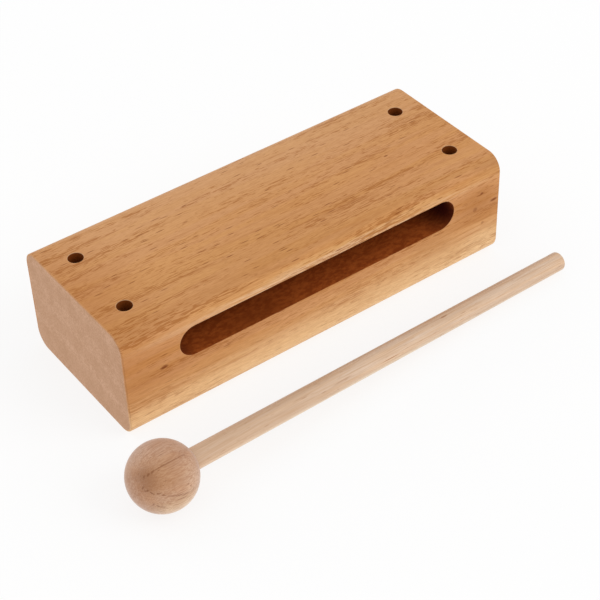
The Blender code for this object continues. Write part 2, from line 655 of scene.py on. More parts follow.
@dataclass(frozen=True)
class Grain:
    """How a timber is grown. Lengths are in millimetres, and X runs along the fibres.

    Attributes:
        drift: how far the fibres wander sideways.
        drift_bend: how long and how thick one bend of that wandering is.
        pith: where the growth rings' centre lies in Y and Z.
        ring: how far apart the growth rings are.
        patch: how long and how thick a broad tint is.
        streak: how long and how thick a streak is.
        dash: how long and how thick a dark dash is.
        fibre: how long and how thick a fine fibre is.
        vessels: the vessels that show from a step away.
        fine_vessels: the finer ones between them.
        ring_length: how far along the fibres a ring keeps its tone.
        dash_crowding: how strongly the dashes gather where broad tints would.
        dash_show: which crests of the noise are dashes.
    """

    drift: float
    drift_bend: Pair
    pith: Pair
    ring: float
    patch: Pair
    streak: Pair
    dash: Pair
    fibre: Pair
    vessels: Vessels
    fine_vessels: Vessels
    ring_length: float = 130.0
    dash_crowding: float = 0.8
    dash_show: Show = Show(0.59, 0.69)

    def grown(self, point: Wire) -> Growth:
        """Lay the grain through a piece, each pattern shifted so that no two fall together.

        Args:
            point: the piece's own coordinates in millimetres, X along the fibres.

        Returns:
            The patterns of the grain.
        """
        long, thick = self.drift_bend
        bend = point.noise(Cloud((long, thick, thick), 1.5), "Color") - (0.5, 0.5, 0.5)
        wandered = point + bend * (0.0, self.drift, self.drift)
        return Growth(
            point=point,
            band=self._bands(wandered),
            patch=self._strands(wandered + (31.0, 7.0, 11.0), self.patch, 1.0),
            streak=self._strands(wandered, self.streak, 2.0),
            dash=self._dashes(wandered + (3.0, 9.0, 2.0)),
            fibre=self._strands(wandered, self.fibre, 2.0),
            vessel=self.vessels.marks(wandered),
            fine_vessel=self.fine_vessels.marks(wandered + (7.0, 3.0, 5.0)),
        )

    def _strands(self, point: Wire, size: Pair, layers: float) -> Wire:
        """Strands: noise drawn out along the fibres to a length and a thickness."""
        return point.noise(Cloud((size[0], size[1], size[1]), layers, 0.6))

    def _dashes(self, point: Wire) -> Wire:
        """Dashes: the highest crests of a drawn-out noise, more of them where they crowd."""
        crowd = (self._strands(point, self.patch, 1.0) - 0.5) * self.dash_crowding
        return self.dash_show.of(self._strands(point, self.dash, 1.0) + crowd)

    def _bands(self, point: Wire) -> Wire:
        """Growth rings: noise that varies with the distance from the pith.

        Args:
            point: the coordinates that follow the fibres.

        Returns:
            The rings.
        """
        graph = point.graph
        out = ((point - (0.0, *self.pith)) * (0.0, 1.0, 1.0)).length()
        along = graph.wire(graph.node("ShaderNodeSeparateXYZ", None, {0: point}), "X")
        rings = graph.wire(graph.node("ShaderNodeCombineXYZ", None, {"X": along, "Y": out}))
        return rings.noise(Cloud((self.ring_length, self.ring, 1.0), 2.5, 0.45))


@dataclass(frozen=True, kw_only=True)
class Timber:
    """What the finishes of both woods share.

    Attributes:
        grain: how it is grown.
        flecks: marks at known places.
        tints: broad changes of tone at known places, some of them painted light and shade.
        fleck_depth: how strongly a fleck of strength 1 marks it.
        torn_flecks: how far its fibres tear the flecks' borders along X, Y and Z.
        torn_tints: how far its streaks tear the tints' borders along X, Y and Z.
        roughness: its roughness where its fibres are lowest.
        fibre_roughness: how much rougher their crests are.
        relief: how many metres a height of 1 stands for.
        gloss: the specular level.
        fuzz: how much pale sheen its loose fibres give.
        fleck_core: how near to a fleck's centre, 0 to 1, it is dark to the full.
        fuzz_roughness: how rough that sheen is.
    """

    grain: Grain
    flecks: tuple[Fleck, ...]
    tints: tuple[Tint, ...]
    fleck_depth: float
    torn_flecks: Triple
    torn_tints: Triple
    roughness: float
    fibre_roughness: float
    relief: float
    gloss: float
    fuzz: float = 0.0
    fleck_core: float = 0.65
    fuzz_roughness: float = 0.4

    def tinted(self, grown: Growth, colour: Wire) -> Wire:
        """Lay its tints over a colour, their borders torn along the streaks."""
        torn = grown.point + self.torn_tints * (grown.streak - 0.5)
        return torn.graph.tinted(colour, torn, self.tints)

    def flecked(self, grown: Growth, marks: Wire) -> Wire:
        """Add its flecks to dark marks, their borders torn along the fibres.

        Args:
            grown: the patterns of the grain.
            marks: how strongly the wood is marked so far, 0 to 1.

        Returns:
            The marks with the flecks.
        """
        torn = grown.point + self.torn_flecks * (grown.fibre - 0.5)
        for fleck in self.flecks:
            point = torn
            if fleck.turn:
                point = torn.turned_about_x(fleck.centre, -fleck.turn)
            core = point.nearness(fleck.centre, fleck.reach).step(0.0, self.fleck_core)
            marks = marks.most(core * (fleck.strength * self.fleck_depth))
        return marks

    def shaded(self, colour: Wire, roughness: Wire, height: Wire) -> bpy.types.Material:
        """Finish the material with a Principled shader.

        Args:
            colour: the base colour.
            roughness: the roughness.
            height: the surface's relief, about 0 to 1.

        Returns:
            The material.
        """
        graph = colour.graph
        bump = graph.node("ShaderNodeBump", None, {"Height": height, "Distance": self.relief})
        shader = graph.node("ShaderNodeBsdfPrincipled", None, {
            "Base Color": colour,
            "Roughness": roughness,
            "Normal": graph.wire(bump),
            "Specular IOR Level": self.gloss,
            "Sheen Weight": self.fuzz,
            "Sheen Roughness": self.fuzz_roughness,
        })
        graph.node("ShaderNodeOutputMaterial", None, {"Surface": graph.wire(shader)})
        return graph.owner


ALL_ALONG = 1000.0
FRONT_Y = -34.9
TOP_Z = 47.6

TOP_FLECKS = tuple(
    Fleck((x, y, TOP_Z), (half_length, half_thickness, 0.5), strength)
    for x, y, half_length, half_thickness, strength in (
        (-30.9, -18.0, 2.4, 0.35, 1.0),
        (-37.7, -9.1, 3.2, 0.30, 0.7),
        (-57.1, 14.9, 1.7, 0.35, 0.9),
        (-48.5, 18.0, 2.8, 0.28, 0.6),
        (-41.0, 18.4, 3.4, 0.35, 0.7),
        (-38.0, 17.4, 2.6, 0.30, 0.6),
        (-27.7, 18.6, 2.0, 0.40, 0.8),
        (-0.2, 22.0, 2.8, 0.30, 0.7),
        (11.4, 22.6, 1.6, 0.40, 0.7),
        (3.7, 6.7, 1.5, 0.30, 0.8),
        (10.6, 0.6, 1.8, 0.30, 0.7),
        (54.7, -4.7, 1.4, 0.45, 0.9),
        (53.5, 19.9, 2.4, 0.35, 0.6),
        (-60.9, -4.8, 3.8, 0.30, 0.6),
    )
)
FRONT_FLECKS = tuple(
    Fleck((x, FRONT_Y, z), (half_length, 0.8, half_height), strength)
    for x, z, half_length, half_height, strength in (
        (-73.4, 27.2, 2.4, 1.1, 1.0),
        (87.1, 28.3, 2.5, 0.9, 1.0),
        (80.4, 34.5, 1.1, 0.7, 0.9),
        (77.2, 27.6, 1.6, 1.5, 0.55),
        (81.6, 18.9, 1.2, 0.8, 0.5),
    )
)
BAR_TINTS = (
    # Painted bounce light: the front's lower half and the front strip of the underside are painted
    # paler, as if lit from the floor.
    Tint((0.0, FRONT_Y, 0.0), (ALL_ALONG, 24.0, 24.5), screen(236, 196, 145), 0.88),
    # Painted sheen: the top is painted paler and greyer towards its back edge.
    Tint((20.0, 40.0, TOP_Z), (200.0, 56.0, 30.0), screen(214, 168, 124), 0.55),
    Tint((-98.0, -10.0, 40.0), (46.0, 70.0, 44.0), screen(180, 116, 60), 0.5),
    Tint((-20.0, -22.0, TOP_Z), (100.0, 24.0, 8.0), screen(196, 142, 84), 0.3),
    # Painted highlight: a pale band along the foot of the front top rounding, over the slot.
    Tint((15.0, -34.8, 42.0), (110.0, 2.5, 3.0), screen(220, 174, 116), 0.45),
    # Painted highlight: a pale line along the front just over the slot's upper lip.
    Tint((0.0, FRONT_Y, 40.6), (110.0, 2.5, 2.2), screen(228, 190, 152), 0.75),
    # Painted shade: the front top rounding is painted darker, against the front lamp's highlight on
    # it.
    Tint((0.0, -31.4, 46.8), (ALL_ALONG, 4.5, 3.0), screen(182, 128, 78), 0.4),
    Tint((90.0, -33.4, 44.6), (20.0, 4.0, 4.0), screen(168, 116, 66), 0.4),
    Tint((0.0, FRONT_Y, 24.8), (ALL_ALONG, 6.0, 6.0), screen(184, 126, 74), 0.35),
    Tint((78.0, FRONT_Y, 30.5), (17.0, 8.0, 12.0), screen(174, 115, 62), 0.62),
    Tint((80.0, FRONT_Y, 9.0), (15.0, 10.0, 11.0), screen(246, 208, 158), 0.4),
    Tint((54.0, FRONT_Y, 19.0), (20.0, 8.0, 9.0), screen(176, 124, 76), 0.3),
)
# Painted shadow and shade in the slot: a cast shadow at its right end, and shade at its left end
# and along the left of its lower lip.
SLOT_PAINTED_SHADOWS = (
    Tint((65.0, -26.0, 30.5), (15.0, 24.0, 10.0), screen(62, 12, 4), 1.0),
    Tint((-63.0, -30.0, 27.5), (6.0, 12.0, 5.0), screen(84, 30, 6), 0.6),
    Tint((-28.0, -33.0, 25.9), (28.0, 9.0, 6.0), screen(118, 54, 10), 0.45),
)
BAR_GRAIN = Grain(
    drift=2.6,
    drift_bend=(75.0, 30.0),
    pith=(12.0, -150.0),
    ring=5.5,
    patch=(60.0, 5.0),
    streak=(30.0, 1.4),
    dash=(4.6, 0.42),
    fibre=(4.0, 0.36),
    vessels=Vessels(gap=1.1, reach=10.0, bore=0.26, share=0.18, crowding=1.8),
    fine_vessels=Vessels(gap=0.55, reach=3.6, bore=0.30, share=0.5),
)


@dataclass(frozen=True, kw_only=True)
class BarHardwood(Timber):
    """The block's finish: tan hardwood, sanded and lightly oiled, scorched where it was milled.

    Attributes:
        tan: the wood's main tone.
        brown: its darker growth bands.
        rose: its pinker tints.
        umber: its dark streaks, fibres and dashes.
        vessel: its open vessels.
        sawn_end: the lighter tone of its end grain.
        sawn_end_dark: the darker tone of its end grain.
        scorch: the lighter tone of the slot's wall.
        scorch_dark: the darker tone of the slot's wall.
        bored: the wall of the holes.
        pale_rim_wear_and_highlight: the pale rims of the openings and the ends' upper and lower
            edges, partly wear and partly a painted highlight, the slot's upper lip most of all.
        darker_end_edge: the darker tone along the sawn ends' front and back edges.
        slot_painted_shade: painted shadow and shade in the slot, a cast shadow at its right end and
            shade at its left end and along its lower lip.
        bands: how the growth bands show along the fibres.
        rosiness: how the pinker tints show.
        streaks: how the streaks show.
        fibres: how the fibres' hollows show.
        dashes: how strongly the dashes show.
        pores: how strongly the vessels and the finer ones show.
        calm: centre and reach of the wood along the front's foot, whose marks are faint.
        calming: how much it takes off the dashes, and off the pores as a share of them.
        cloud: broad blotches on the ends and in the slot.
        mottle: the ends' own mottling.
        speckle: the slot's own mottling.
        tear: how the saw tore the ends' outline.
        end_mottle: how the ends' mottling shows.
        end_bands: how the growth bands show on the ends.
        end_pores: how strongly the vessels and the finer ones show on the ends.
        end_border: how the ends' tone starts at their outline.
        scorching: how the slot's mottling shows.
        pale_rim_patches: how the pale rims, wear and painted highlight, break into patches.
        end_edge_darkening: how strongly that darker tone shows.
        end_roughness: how much rougher the ends are.
        wall_roughness: how much rougher the slot's and the holes' walls are.
    """

    grain: Grain = BAR_GRAIN
    flecks: tuple[Fleck, ...] = TOP_FLECKS + FRONT_FLECKS
    tints: tuple[Tint, ...] = BAR_TINTS
    fleck_depth: float = 0.85
    torn_flecks: Triple = (0.0, 0.8, 0.8)
    torn_tints: Triple = (0.0, 8.0, 8.0)
    roughness: float = 0.46
    fibre_roughness: float = 0.14
    relief: float = 0.00001
    gloss: float = 0.12
    tan: Colour = screen(210, 153, 97)
    brown: Colour = screen(198, 137, 78)
    rose: Colour = screen(206, 149, 101)
    umber: Colour = screen(154, 88, 26)
    vessel: Colour = screen(118, 54, 2)
    sawn_end: Colour = screen(201, 160, 131)
    sawn_end_dark: Colour = screen(181, 139, 107)
    scorch: Colour = screen(166, 84, 30)
    scorch_dark: Colour = screen(138, 62, 16)
    bored: Colour = screen(126, 62, 16)
    pale_rim_wear_and_highlight: Colour = screen(222, 186, 146)
    darker_end_edge: Colour = screen(140, 98, 68)
    slot_painted_shade: tuple[Tint, ...] = SLOT_PAINTED_SHADOWS
    bands: Show = Show(0.36, 0.64)
    rosiness: Show = Show(0.42, 0.62, 0.6)
    streaks: Show = Show(0.5, 0.75, 0.27)
    fibres: Show = Show(0.62, 0.38, 0.2)
    dashes: float = 0.6
    pores: Pair = (0.7, 0.25)
    calm: tuple[Triple, Triple] = ((0.0, FRONT_Y, 8.0), (ALL_ALONG, 14.0, 19.0))
    calming: Pair = (0.2, 0.55)
    cloud: Cloud = Cloud((7.0, 5.0, 9.0))
    mottle: Cloud = Cloud((0.7, 0.7, 0.7), 2.0, 0.7)
    speckle: Cloud = Cloud((2.2, 1.2, 1.2), 2.0, 0.55)
    tear: Cloud = Cloud((1.6, 1.6, 1.6))
    end_mottle: Show = Show(0.36, 0.64)
    end_bands: Show = Show(0.40, 0.64, 0.4)
    end_pores: Pair = (0.35, 0.2)
    end_border: Show = Show(0.16, 0.66)
    scorching: Show = Show(0.36, 0.62)
    pale_rim_patches: Show = Show(0.2, 0.5, 0.7)
    end_edge_darkening: float = 0.2
    end_roughness: float = 0.2
    wall_roughness: float = 0.4

    def material(self, name: str) -> bpy.types.Material:
        """Build the finish.

        Args:
            name: the material's name.

        Returns:
            The material.
        """
        graph = Graph(bpy.data.materials.new(name))
        point = graph.millimetres()
        grown = self.grain.grown(point)
        cloud = point.noise(self.cloud)
        ends, cut, bore, arris, edge = (graph.trait(place) for place in Place)
        border = self.end_border.of(ends + (point.noise(self.tear) - 0.5) * 0.5)
        colour = graph.mix(border, self._long_grain(grown), self._end_grain(grown, cloud))
        colour = graph.mix(cut, colour, self._scorched_and_shaded(point, cloud))
        colour = graph.mix(bore, colour, self.bored)
        # Pale rims: wear, with a painted highlight on the slot's upper lip and the holes' rims.
        colour = graph.mix(arris * self.pale_rim_patches.of(grown.streak), colour, self.pale_rim_wear_and_highlight)
        colour = graph.mix(edge * self.end_edge_darkening, colour, self.darker_end_edge)
        rougher = ends * self.end_roughness + cut.most(bore) * self.wall_roughness
        roughness = self.roughness + grown.fibre * self.fibre_roughness + rougher
        height = grown.fibre * 0.4 - (grown.vessel + grown.fine_vessel * 0.5)
        return self.shaded(colour, roughness, height)

    def _long_grain(self, grown: Growth) -> Wire:
        """Colour the sides that run along the fibres.

        Args:
            grown: the patterns of the grain.

        Returns:
            The colour.
        """
        graph = grown.point.graph
        colour = graph.mix(self.bands.of(grown.band), self.tan, self.brown)
        colour = graph.mix(self.rosiness.of(grown.patch), colour, self.rose)
        colour = self.tinted(grown, colour)
        colour = graph.mix(self.streaks.of(grown.streak), colour, self.umber)
        colour = graph.mix(self.fibres.of(grown.fibre), colour, self.umber)
        calm = grown.point.nearness(*self.calm).step(0.0, 0.5)
        less_dash, less_pore = self.calming
        colour = graph.mix(grown.dash * (self.dashes - calm * less_dash), colour, self.umber)
        marks = grown.pores(self.pores) * (1.0 - calm * less_pore)
        return graph.mix(self.flecked(grown, marks), colour, self.vessel)

    def _end_grain(self, grown: Growth, cloud: Wire) -> Wire:
        """Colour the sawn ends.

        Args:
            grown: the patterns of the grain.
            cloud: the broad blotches.

        Returns:
            The colour.
        """
        graph = cloud.graph
        mottle = grown.point.noise(self.mottle) * 0.75 + cloud * 0.25
        colour = graph.mix(self.end_mottle.of(mottle), self.sawn_end, self.sawn_end_dark)
        colour = graph.mix(self.end_bands.of(grown.band), colour, self.sawn_end_dark)
        return graph.mix(grown.pores(self.end_pores), colour, self.umber)

    def _scorched_and_shaded(self, point: Wire, cloud: Wire) -> Wire:
        """Colour the slot's wall: its scorched tone, with painted shadow and shade laid over it.

        Args:
            point: where, in millimetres.
            cloud: the broad blotches.

        Returns:
            The colour.
        """
        speckle = point.noise(self.speckle) * 0.7 + cloud * 0.3
        colour = point.graph.mix(self.scorching.of(speckle), self.scorch, self.scorch_dark)
        # Lay the painted shadow and shade over the slot's wall.
        return point.graph.tinted(colour, point, self.slot_painted_shade)


@dataclass(frozen=True, kw_only=True)
class PaleWood(Timber):
    """The beater's finish: bare turned wood, fine-grained and matt.

    Its flecks and tints are counted from the ball's centre along the dowel.

    Attributes:
        light: the wood's own colour.
        blush: its warmer tints.
        dark: its darker streaks.
        mark: its vessels and pores.
        end: its end grain.
        figure: how strongly its growth bands and streaks show.
        pores: how strongly the vessels and the finer ones show.
        blushes: how the warmer tints show.
        bands: how the growth bands show.
        streaks: how the streaks show.
        fibres: how the fibres' hollows show.
        speckle: the end grain's mottling.
        end_speckle: how that mottling shows.
        end_strength: how strongly end grain shows.
    """

    fleck_depth: float = 0.8
    torn_flecks: Triple = (0.0, 0.5, 0.5)
    torn_tints: Triple = (6.0, 4.0, 4.0)
    roughness: float = 0.55
    fibre_roughness: float = 0.12
    relief: float = 0.00003
    gloss: float = 0.25
    light: Colour
    blush: Colour
    dark: Colour
    mark: Colour
    end: Colour
    figure: float
    pores: Pair
    blushes: Show = Show(0.34, 0.66)
    bands: Show = Show(0.36, 0.64)
    streaks: Show = Show(0.48, 0.7)
    fibres: Show = Show(0.6, 0.4, 0.42)
    speckle: Cloud = Cloud((1.2, 0.9, 0.9), 2.0, 0.65)
    end_speckle: Show = Show(0.38, 0.60, 0.8)
    end_strength: float = 0.6

    def material(self, name: str, turn: Matrix) -> bpy.types.Material:
        """Build the finish.

        Args:
            name: the material's name.
            turn: the place of the beater, whose X axis the fibres follow.

        Returns:
            The material.
        """
        graph = Graph(bpy.data.materials.new(name))
        placed = graph.node("ShaderNodeMapping", {"vector_type": "TEXTURE"}, {
            "Vector": graph.millimetres(),
            "Location": tuple(turn.to_translation() * MILLIMETRES),
            "Rotation": tuple(turn.to_euler("XYZ")),
        })
        point = graph.wire(placed)
        grown = self.grain.grown(point)
        colour = graph.mix(self.blushes.of(grown.patch), self.light, self.blush)
        colour = graph.mix(self.bands.of(grown.band) * self.figure, colour, self.dark)
        colour = self.tinted(grown, colour)
        colour = graph.mix(self.streaks.of(grown.streak) * self.figure, colour, self.dark)
        colour = graph.mix(self.fibres.of(grown.fibre), colour, self.dark)
        speckle = self.end_speckle.of(point.noise(self.speckle))
        end = graph.mix(speckle, self.end, self.dark)
        colour = graph.mix(graph.trait(Place.END_GRAIN) * self.end_strength, colour, end)
        colour = graph.mix(self.flecked(grown, grown.pores(self.pores)), colour, self.mark)
        roughness = self.roughness + grown.fibre * self.fibre_roughness
        return self.shaded(colour, roughness, grown.fibre * 0.3 - grown.vessel)


@dataclass(frozen=True)
class Plane:
    """A flat face of the bar.

    Attributes:
        origin: the point that both of its coordinates count from.
        first: the way of its first coordinate.
        second: the way of its second coordinate.
        inward: the way into the wood.
    """

    origin: Triple
    first: Triple
    second: Triple
    inward: Triple

    def at(self, spots: Array, depth: float = 0.0) -> Array:
        """Give the points origin + a first + b second + depth inward of the spots (a, b)."""
        origin = np.array(self.origin) + depth * np.array(self.inward)
        return origin + spots @ np.array([self.first, self.second])


@dataclass(frozen=True)
class Mouth:
    """A round-ended opening in a flat face: all that lies within a radius of a middle line.

    The face is drawn in a rectangle round it, whose border points each look at the nearest point
    of the middle line. Any loop round the opening is then centre + radius * direction.

    Attributes:
        columns: the rectangle's grid lines along the face's first coordinate.
        rows: its grid lines along the second.
        middle: the middle line's first coordinates, lowest and highest.
        height: the middle line's second coordinate.
        radius: the opening's radius at its wall.
        rim: how far the rim is rounded over.
    """

    FACE_CELLS = 4

    columns: Array
    rows: Array
    middle: Pair
    height: float
    radius: float
    rim: float

    def border(self) -> Array:
        """Give the rectangle's border, as a closed loop of (a, b) spots."""
        first, *others = rectangle(self.columns, self.rows)
        return np.concatenate([first] + [side[1:] for side in others])

    def ring(self, radius: float) -> Array:
        """Draw a loop round the middle line.

        Args:
            radius: the loop's radius.

        Returns:
            Its (a, b) spots, one for each of the border's.
        """
        border = self.border()
        height = np.full(len(border), self.height)
        centre = np.column_stack([np.clip(border[:, 0], *self.middle), height])
        way = border - centre
        return centre + radius * way / np.linalg.norm(way, axis=1, keepdims=True)

    def covers(self, spots: Array) -> Array:
        """Tell which spots lie in the rectangle."""
        low, high = (np.array([self.columns[end], self.rows[end]]) for end in (0, -1))
        return np.all((spots > low) & (spots < high), axis=-1)

    def lay_loops(self, skin: Skin, plane: Plane, radii: Array, depths: Array) -> None:
        """Draw a wall through loops round the middle line, each at its own radius and depth."""
        loops = [plane.at(self.ring(radius), depth) for radius, depth in zip(radii, depths)]
        skin.lay(np.stack(loops))

    def lay_face(self, skin: Skin, plane: Plane) -> None:
        """Draw the face round the mouth, and its rim: a quarter circle from face to wall.

        Args:
            skin: the surface that it is drawn in.
            plane: the face.
        """
        outer = self.ring(self.radius + self.rim)
        skin.lay(plane.at(blend(self.border(), outer, self.FACE_CELLS)))
        along, inward = quarter_turn(ROUNDING_CELLS)
        self.lay_loops(skin, plane, self.radius + self.rim * (1 - along), self.rim * inward)


@dataclass(frozen=True)
class ResonatorBlock:
    """The bar: rounded along its length, slotted from the front, drilled at its ends.

    Attributes:
        half_length: half the bar's length.
        half_width: half the bar's width.
        height: the bar's height.
        edge_radius: the rounding of the four long edges.
        end_ease: the rounding of the sawn ends' edges.
        end_margin: how far in from its front and back edges a sawn end turns to plain end grain.
        end_margin_above: the same at its upper and lower edges, as a share of the end margin.
        end_facing: how squarely end grain looks along the bar: where it starts, where it is full.
        slot_height: the slot's height, and the width of the cutter that milled it.
        slot_depth: how far the slot goes in.
        slot_fillet: the rounding between the slot's wall and its floor.
        roof: how thick the wood over the slot is.
        slot_end_wall: how thick the wood beyond each end of the slot is.
        hole_diameter: the holes' diameter.
        hole_end_inset: from the bar's end to a hole's centre.
        hole_side_inset: from the bar's side to a hole's centre.
        hole_field: the width of the square in which a hole's mouth is drawn.
        slot_rim: how far the slot's rim is rounded over.
        hole_rim: how far a hole's rim is rounded over.
        cutter_pass: how deep each pass of the milling cutter went.
        pass_ridge: how far the wall stands out where two passes meet.
        ridge_width: half the width of such a ridge.
        slot_lip_wear_and_highlight: how strongly the slot's upper rim is painted pale, 0 to 1, as
            wear and a painted highlight.
        end_wear: how worn the ends' upper and lower edges are, 0 to 1.
        finish: the block's finish.
    """

    COLUMN_CELLS = (6, 12, 4, 10, 56, 10, 4, 12, 6)
    ROW_CELLS = (4, 12, 12, 12, 4)
    UPRIGHT_CELLS = (8, 20)
    EDGE_CELLS = 12
    END_CELLS = 8
    SLOT_CELLS = 63
    FLOOR_CELLS = 5
    HOLE_CELLS = 24

    half_length: float
    half_width: float
    height: float
    edge_radius: float = 0.0070
    end_ease: float = 0.0005
    end_margin: float = 0.0023
    end_margin_above: float = 0.35
    end_facing: Pair = (0.8, 1.0)
    slot_height: float = 0.0138
    slot_depth: float = 0.0500
    slot_fillet: float = 0.0008
    roof: float = 0.0079
    slot_end_wall: float = 0.0242
    hole_diameter: float = 0.0062
    hole_end_inset: float = 0.0125
    hole_side_inset: float = 0.0174
    hole_field: float = 0.0100
    slot_rim: float = 0.0002
    hole_rim: float = 0.0003
    cutter_pass: float = 0.0125
    pass_ridge: float = 0.00006
    ridge_width: float = 0.0006
    slot_lip_wear_and_highlight: float = 0.5
    end_wear: float = 0.4
    finish: BarHardwood = BarHardwood()

    @property
    def slot_radius(self) -> float:
        """The radius of the slot's round ends."""
        return self.slot_height / 2

    @property
    def slot_middle(self) -> float:
        """How high the slot's middle line lies."""
        return self.height - self.roof - self.slot_radius

    @property
    def slot_reach(self) -> float:
        """How far the slot's middle line goes to either side."""
        return self.half_length - self.slot_end_wall - self.slot_radius

    @property
    def slot_margin(self) -> float:
        """How far the slot's rectangle goes past its middle line, up to the rounded edge."""
        return self.height - self.edge_radius - self.slot_middle

    @property
    def hole_x(self) -> float:
        """How far to either side the holes' centres lie."""
        return self.half_length - self.hole_end_inset

    @property
    def hole_y(self) -> float:
        """How far to the front and the back the holes' centres lie."""
        return self.half_width - self.hole_side_inset

    @cached_property
    def lines(self) -> tuple[Array, Array, Array]:
        """Grid lines, chosen so that each mouth's rectangle lies on some.

        Returns:
            The lines' places along X, Y and Z.
        """
        reach, middle, margin = self.slot_reach, self.slot_middle, self.slot_margin
        x, y, half = self.hole_x, self.hole_y, self.hole_field / 2
        right = [reach, reach + margin, x - half, x + half, self.half_length - self.end_ease]
        back = [y - half, y + half, self.half_width - self.edge_radius]
        upper = [self.edge_radius, middle - margin, middle + margin]
        columns = divide(both_ways(right), self.COLUMN_CELLS)
        return columns, divide(both_ways(back), self.ROW_CELLS), divide(upper, self.UPRIGHT_CELLS)

    @cached_property
    def section(self) -> tuple[Array, Array]:
        """The bar's section, which drawn in by d is core + (edge radius - d) * outward.

        The core is the rectangle through the centres of the four roundings, and the outward way
        turns a quarter at each corner.

        Returns:
            The core's closed loop of (y, z) points, and the outward way at each.
        """
        turns = np.linspace(0, QUARTER, self.EDGE_CELLS + 1)[1:-1]
        core, angles = [], []
        for number, side in enumerate(rectangle(*self.lines[1:])):
            facing = (number - 1) * QUARTER
            core += [side, np.tile(side[-1], (len(turns), 1))]
            angles += [np.full(len(side), facing), facing + turns]
        loop = np.concatenate(core)
        angle = np.concatenate(angles)
        outward = np.column_stack([np.cos(angle), np.sin(angle)])
        return np.append(loop, loop[:1], 0), np.append(outward, outward[:1], 0)

    @cached_property
    def slot_mouth(self) -> Mouth:
        """The slot's mouth in the front, on the grid lines.

        Returns:
            The mouth, with X along it and Z up.
        """
        reach, middle, margin = self.slot_reach, self.slot_middle, self.slot_margin
        return Mouth(
            columns=near(self.lines[0], -reach, reach, margin),
            rows=near(self.lines[2], middle, middle, margin),
            middle=(-reach, reach),
            height=middle,
            radius=self.slot_radius,
            rim=self.slot_rim,
        )

    @cached_property
    def hole_mouths(self) -> list[Mouth]:
        """The holes' mouths in the top and the underside, on the grid lines.

        Returns:
            The four mouths, with X along them and Y across.
        """
        return [
            Mouth(
                columns=near(self.lines[0], x, x, self.hole_field / 2),
                rows=near(self.lines[1], y, y, self.hole_field / 2),
                middle=(x, x),
                height=y,
                radius=self.hole_diameter / 2,
                rim=self.hole_rim,
            )
            for x in (-self.hole_x, self.hole_x)
            for y in (-self.hole_y, self.hole_y)
        ]

    def _lay_sides(self, skin: Skin) -> None:
        """Carry the section along the bar, leaving out the rectangles round the mouths.

        Args:
            skin: the bar's surface.
        """
        core, outward = self.section
        columns = self.lines[0]
        side = np.empty((len(columns), len(core), 3))
        side[..., 0] = columns[:, None]
        side[..., 1:] = core + self.edge_radius * outward
        centres = (side[:-1, :-1] + side[1:, 1:]) / 2
        at_front = centres[..., 1] < self.edge_radius - self.half_width
        level = np.minimum(centres[..., 2], self.height - centres[..., 2]) < self.end_ease
        on_slot = at_front & self.slot_mouth.covers(centres[..., [0, 2]])
        covered = [hole.covers(centres[..., :2]) for hole in self.hole_mouths]
        skin.lay(side, ~(on_slot | level & np.any(covered, axis=0)))

    def _lay_end(self, skin: Skin, sign: int) -> None:
        """Close one end: a rounded arris, a ring in to the core, and the core itself.

        Args:
            skin: the bar's surface.
            sign: -1 for the left end and 1 for the right one.
        """
        core, outward = self.section

        def loop(x: float, inset: float) -> Array:
            """Draw the section at x, drawn in by the inset."""
            spots = core + (self.edge_radius - inset) * outward
            return np.column_stack([np.full(len(spots), sign * x), spots])

        ease = self.end_ease
        along, inward = quarter_turn(ROUNDING_CELLS)
        square = self.half_length - ease
        skin.lay(np.stack([loop(square + ease * a, ease * b) for a, b in zip(along, inward)]))
        shares = np.linspace(0, 1, self.END_CELLS + 1) ** 2
        insets = ease + (self.edge_radius - ease) * shares
        skin.lay(np.stack([loop(self.half_length, inset) for inset in insets]))
        y, z = np.meshgrid(*self.lines[1:], indexing="ij")
        skin.lay(np.stack([np.full_like(y, sign * self.half_length), y, z], -1))

    def _lay_slot(self, skin: Skin) -> None:
        """Draw the slot: its mouth, its wall, the fillet at its floor, and the floor.

        The wall stands in by ridge * exp(-(s / width)**2), with s the distance in depth from
        where two passes of the cutter meet.

        Args:
            skin: the bar's surface.
        """
        front = Plane((0, -self.half_width, 0), (1, 0, 0), (0, 0, 1), (0, 1, 0))
        mouth = self.slot_mouth
        mouth.lay_face(skin, front)
        radius, fillet, length = self.slot_radius, self.slot_fillet, self.cutter_pass
        depths = np.linspace(self.slot_rim, self.slot_depth - fillet, self.SLOT_CELLS + 1)
        from_meeting = np.abs((depths + length / 2) % length - length / 2)
        meeting = np.exp(-((from_meeting / self.ridge_width) ** 2)) * (depths > length / 2)
        meeting[-1] = 0
        mouth.lay_loops(skin, front, radius - self.pass_ridge * meeting, depths)
        along, inward = quarter_turn(ROUNDING_CELLS)
        depths = self.slot_depth - fillet * (1 - along)
        mouth.lay_loops(skin, front, radius - fillet * inward, depths)
        floor = blend(mouth.ring(radius - fillet), mouth.ring(0.0), self.FLOOR_CELLS)
        skin.lay(front.at(floor, self.slot_depth))

    def _lay_holes(self, skin: Skin) -> None:
        """Draw the holes, each with its two mouths and the bored wall between them.

        Args:
            skin: the bar's surface.
        """
        top = Plane((0, 0, self.height), (1, 0, 0), (0, 1, 0), (0, 0, -1))
        bottom = Plane((0, 0, 0), (1, 0, 0), (0, 1, 0), (0, 0, 1))
        depths = np.linspace(self.hole_rim, self.height - self.hole_rim, self.HOLE_CELLS + 1)
        for mouth in self.hole_mouths:
            mouth.lay_face(skin, top)
            mouth.lay_face(skin, bottom)
            mouth.lay_loops(skin, top, np.full_like(depths, mouth.radius), depths)

